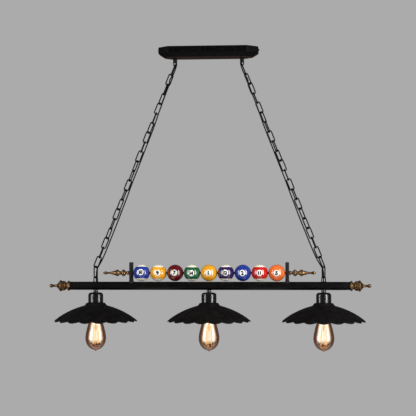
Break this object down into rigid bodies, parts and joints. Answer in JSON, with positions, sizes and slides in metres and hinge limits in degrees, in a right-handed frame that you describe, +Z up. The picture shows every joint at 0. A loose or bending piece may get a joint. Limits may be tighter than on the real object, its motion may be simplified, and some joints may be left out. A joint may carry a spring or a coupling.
{
  "type": "pool table lamp",
  "caption": "Ceiling lamp with a long black bar on two chains, scalloped metal shades over amber bulbs, and a row of pool balls on a rod.",
  "frame": {"origin": "middle of the mounting bracket's upper face, in the plane of the ceiling", "axes": "+X along the bar to the right, +Z up, the front faces -Y"},
  "size_m": [1.011, 0.2618, 0.954],
  "materials": {
    "black_paint": "satin",
    "shade_black": "matte",
    "gloss_black": "gloss",
    "black_plastic": "matte",
    "aged_brass": "satin",
    "zinc_steel": "satin",
    "cord_black": "matte",
    "white_plastic": "matte",
    "amber_glass": "gloss",
    "bulb_brass": "satin",
    "filament": "matte",
    "ball_blue": "gloss",
    "ball_yellow": "gloss",
    "ball_maroon": "gloss",
    "ball_green": "gloss",
    "ball_purple": "gloss",
    "ball_red": "gloss",
    "ball_orange": "gloss"
  },
  "bodies": {
    "canopy": {"canopy_shell": "black_paint", "mounting_bracket": "zinc_steel", "canopy_screw_left": "black_paint", "canopy_screw_right": "black_paint", "canopy_loop_left": "black_paint", "canopy_loop_right": "black_paint", "terminal_block": "white_plastic", "canopy_wiring": "cord_black"},
    "top_links": {"chain_top_link_left": "black_paint", "chain_top_link_right": "black_paint"},
    "left_chain": {"chain_left": "black_paint", "power_cord_left": "cord_black"},
    "right_chain": {"chain_right": "black_paint", "power_cord_right": "cord_black"},
    "bottom_links": {"chain_bottom_link_left": "black_paint", "chain_bottom_link_right": "black_paint"},
    "bar": {"main_tube": "black_paint", "end_finial_left": "aged_brass", "end_finial_right": "aged_brass", "bar_loop_left": "black_paint", "bar_loop_right": "black_paint", "rack_post_left": "black_paint", "rack_post_right": "black_paint", "ball_rod": "black_paint", "rack_finial_left": "aged_brass", "rack_finial_right": "aged_brass", "wire_harness": "cord_black", "lamp_nipple_left": "black_paint", "socket_cup_left": "gloss_black", "lampholder_left": "black_plastic", "shade_ring_left": "black_plastic", "shade_left": "shade_black", "lamp_nipple_middle": "black_paint", "socket_cup_middle": "gloss_black", "lampholder_middle": "black_plastic", "shade_ring_middle": "black_plastic", "shade_middle": "shade_black", "lamp_nipple_right": "black_paint", "socket_cup_right": "gloss_black", "lampholder_right": "black_plastic", "shade_ring_right": "black_plastic", "shade_right": "shade_black"},
    "left_bulb": {"bulb_glass_left": "amber_glass", "bulb_cap_left": "bulb_brass", "bulb_filament_left": "filament"},
    "middle_bulb": {"bulb_glass_middle": "amber_glass", "bulb_cap_middle": "bulb_brass", "bulb_filament_middle": "filament"},
    "right_bulb": {"bulb_glass_right": "amber_glass", "bulb_cap_right": "bulb_brass", "bulb_filament_right": "filament"},
    "ball_1_body": {"ball_1": "ball_blue"},
    "ball_2_body": {"ball_2": "ball_yellow"},
    "ball_3_body": {"ball_3": "ball_maroon"},
    "ball_4_body": {"ball_4": "ball_green"},
    "ball_5_body": {"ball_5": "ball_yellow"},
    "ball_6_body": {"ball_6": "ball_purple"},
    "ball_7_body": {"ball_7": "ball_blue"},
    "ball_8_body": {"ball_8": "ball_red"},
    "ball_9_body": {"ball_9": "ball_orange"}
  },
  "joints": [
    {"name": "hanging_swing", "type": "hinge", "parent": "canopy", "child": "top_links", "pos_m": [0, 0, -0.05625], "axis": [1, 0, 0], "range_deg": [-20, 20]},
    {"name": "left_chain_sway", "type": "hinge", "parent": "top_links", "child": "left_chain", "pos_m": [-0.11813, 0, -0.08593], "axis": [0, 1, 0], "range_deg": [-6, 6]},
    {"name": "right_chain_sway", "type": "hinge", "parent": "top_links", "child": "right_chain", "pos_m": [0.11813, 0, -0.08593], "axis": [0, 1, 0], "range_deg": [-6.1, 6.1]},
    {"name": "bottom_links_sway", "type": "hinge", "parent": "left_chain", "child": "bottom_links", "pos_m": [-0.358, 0, -0.68692], "axis": [0, 1, 0], "range_deg": [-2.1, 2.1]},
    {"name": "bar_rock", "type": "hinge", "parent": "bottom_links", "child": "bar", "pos_m": [0, 0, -0.71915], "axis": [1, 0, 0], "range_deg": [-15, 15]},
    {"name": "left_bulb_travel", "type": "slide", "parent": "bar", "child": "left_bulb", "axis": [0, 0, -1], "range_m": [0, 0.024]},
    {"name": "middle_bulb_travel", "type": "slide", "parent": "bar", "child": "middle_bulb", "axis": [0, 0, -1], "range_m": [0, 0.024]},
    {"name": "right_bulb_travel", "type": "slide", "parent": "bar", "child": "right_bulb", "axis": [0, 0, -1], "range_m": [0, 0.024]},
    {"name": "ball_1_spin", "type": "hinge", "parent": "bar", "child": "ball_1_body", "pos_m": [-0.2124, 0, -0.7075], "axis": [1, 0, 0], "continuous": true},
    {"name": "ball_2_spin", "type": "hinge", "parent": "bar", "child": "ball_2_body", "pos_m": [-0.1593, 0, -0.7075], "axis": [1, 0, 0], "continuous": true},
    {"name": "ball_3_spin", "type": "hinge", "parent": "bar", "child": "ball_3_body", "pos_m": [-0.1062, 0, -0.7075], "axis": [1, 0, 0], "continuous": true},
    {"name": "ball_4_spin", "type": "hinge", "parent": "bar", "child": "ball_4_body", "pos_m": [-0.0531, 0, -0.7075], "axis": [1, 0, 0], "continuous": true},
    {"name": "ball_5_spin", "type": "hinge", "parent": "bar", "child": "ball_5_body", "pos_m": [0, 0, -0.7075], "axis": [1, 0, 0], "continuous": true},
    {"name": "ball_6_spin", "type": "hinge", "parent": "bar", "child": "ball_6_body", "pos_m": [0.0531, 0, -0.7075], "axis": [1, 0, 0], "continuous": true},
    {"name": "ball_7_spin", "type": "hinge", "parent": "bar", "child": "ball_7_body", "pos_m": [0.1062, 0, -0.7075], "axis": [1, 0, 0], "continuous": true},
    {"name": "ball_8_spin", "type": "hinge", "parent": "bar", "child": "ball_8_body", "pos_m": [0.1593, 0, -0.7075], "axis": [1, 0, 0], "continuous": true},
    {"name": "ball_9_spin", "type": "hinge", "parent": "bar", "child": "ball_9_body", "pos_m": [0.2124, 0, -0.7075], "axis": [1, 0, 0], "continuous": true}
  ],
  "couplings": [
    {"joint": "right_chain_sway", "follows": "left_chain_sway", "ratio": 1},
    {"joint": "bottom_links_sway", "follows": "left_chain_sway", "ratio": -0.32998}
  ]
}
